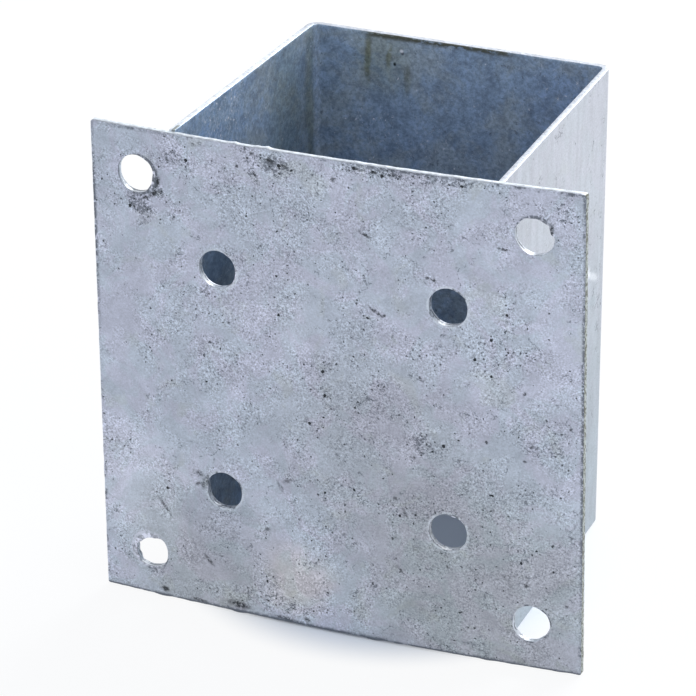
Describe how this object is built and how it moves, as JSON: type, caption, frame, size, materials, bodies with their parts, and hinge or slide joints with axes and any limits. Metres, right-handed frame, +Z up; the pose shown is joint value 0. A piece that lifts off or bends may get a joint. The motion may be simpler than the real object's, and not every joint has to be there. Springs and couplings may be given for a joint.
{
  "type": "timber post base",
  "caption": "Side-fixed steel post base: a square sleeve, open above and below, welded to the back of a flat plate with inner and outer bolt holes.",
  "frame": {"origin": "centre of the plate's front face, which is the face that goes against the wall", "axes": "+X across the plate, +Y from the plate into the sleeve, +Z up along the post"},
  "size_m": [0.15, 0.098, 0.148],
  "materials": {
    "plate_zinc": "hot-dip galvanised, matt and mottled",
    "sleeve_zinc": "hot-dip galvanised, matt and mottled",
    "weld_zinc": "fillet weld under a hot-dip zinc coat"
  },
  "bodies": {
    "root": {"mounting_plate": "plate_zinc", "post_sleeve": "sleeve_zinc", "weld_bead_left": "weld_zinc", "weld_bead_right": "weld_zinc"}
  },
  "joints": []
}
